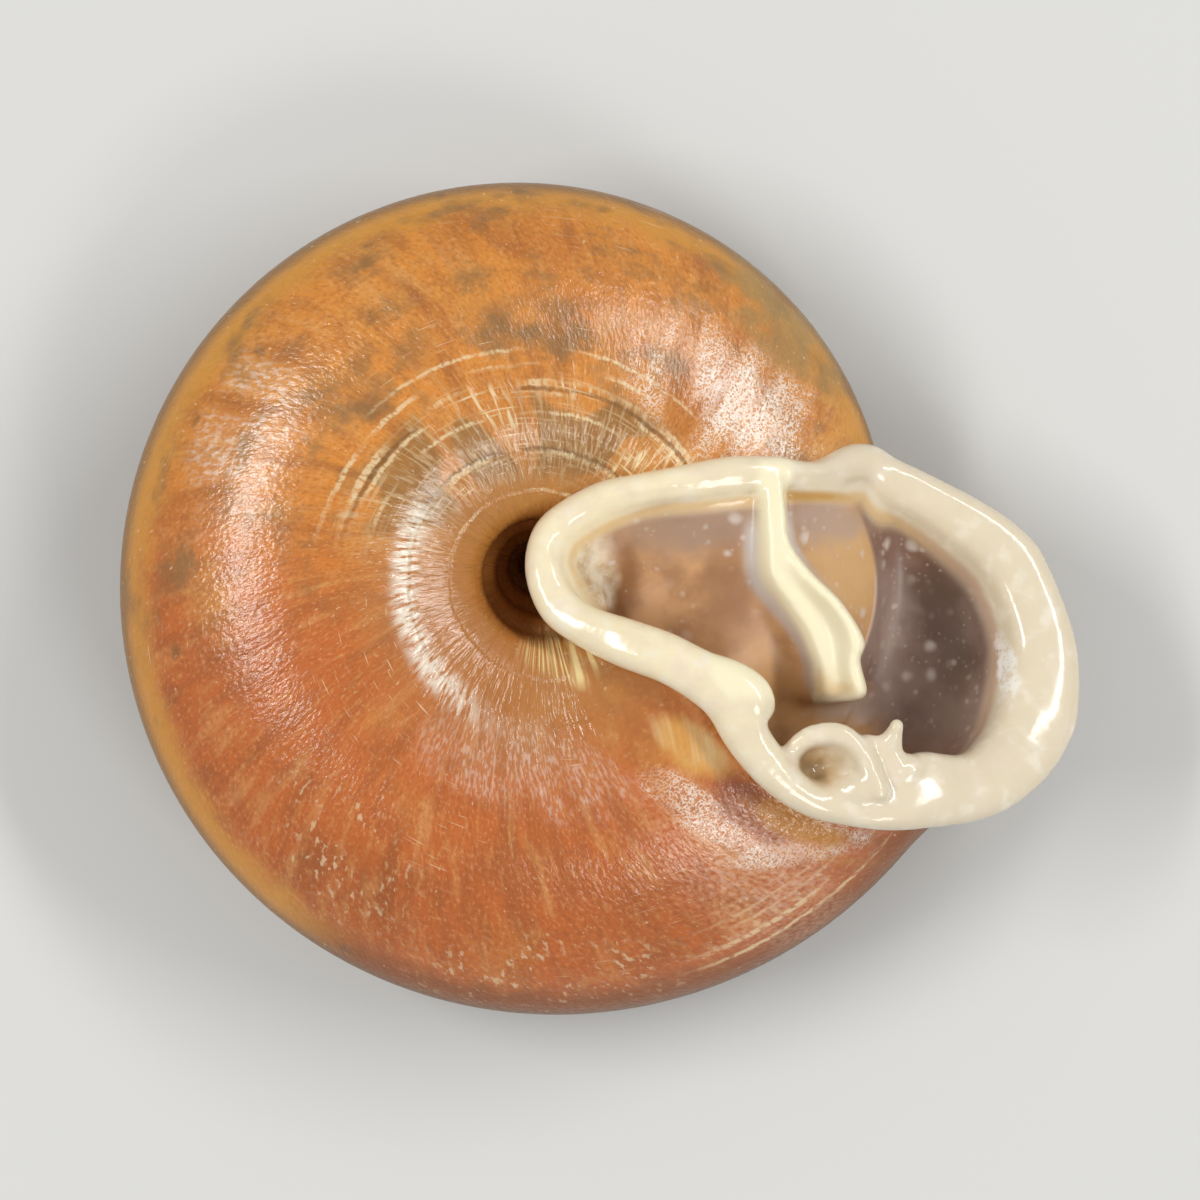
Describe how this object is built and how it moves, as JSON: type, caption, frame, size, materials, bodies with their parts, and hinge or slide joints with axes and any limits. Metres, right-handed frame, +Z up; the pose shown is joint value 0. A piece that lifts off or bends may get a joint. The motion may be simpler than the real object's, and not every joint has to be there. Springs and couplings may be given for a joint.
{
  "type": "land snail shell",
  "caption": "Right-handed coiled land snail shell with a low spire, open umbilicus, thick turned-back pale lip, and a twisted lamella and teeth in its oblique mouth.",
  "frame": {"origin": "centre of the bounding box in plan, at the level the shell rests on", "axes": "+Z up, out of the base side with the umbilicus; +X towards the outer lip of the mouth; the coil axis leans about 5.5 degrees from +Z, as the shell rests on its spire"},
  "size_m": [0.05, 0.0434, 0.0167],
  "materials": {
    "shell": "satin"
  },
  "bodies": {
    "root": {"shell": "shell"}
  },
  "joints": []
}
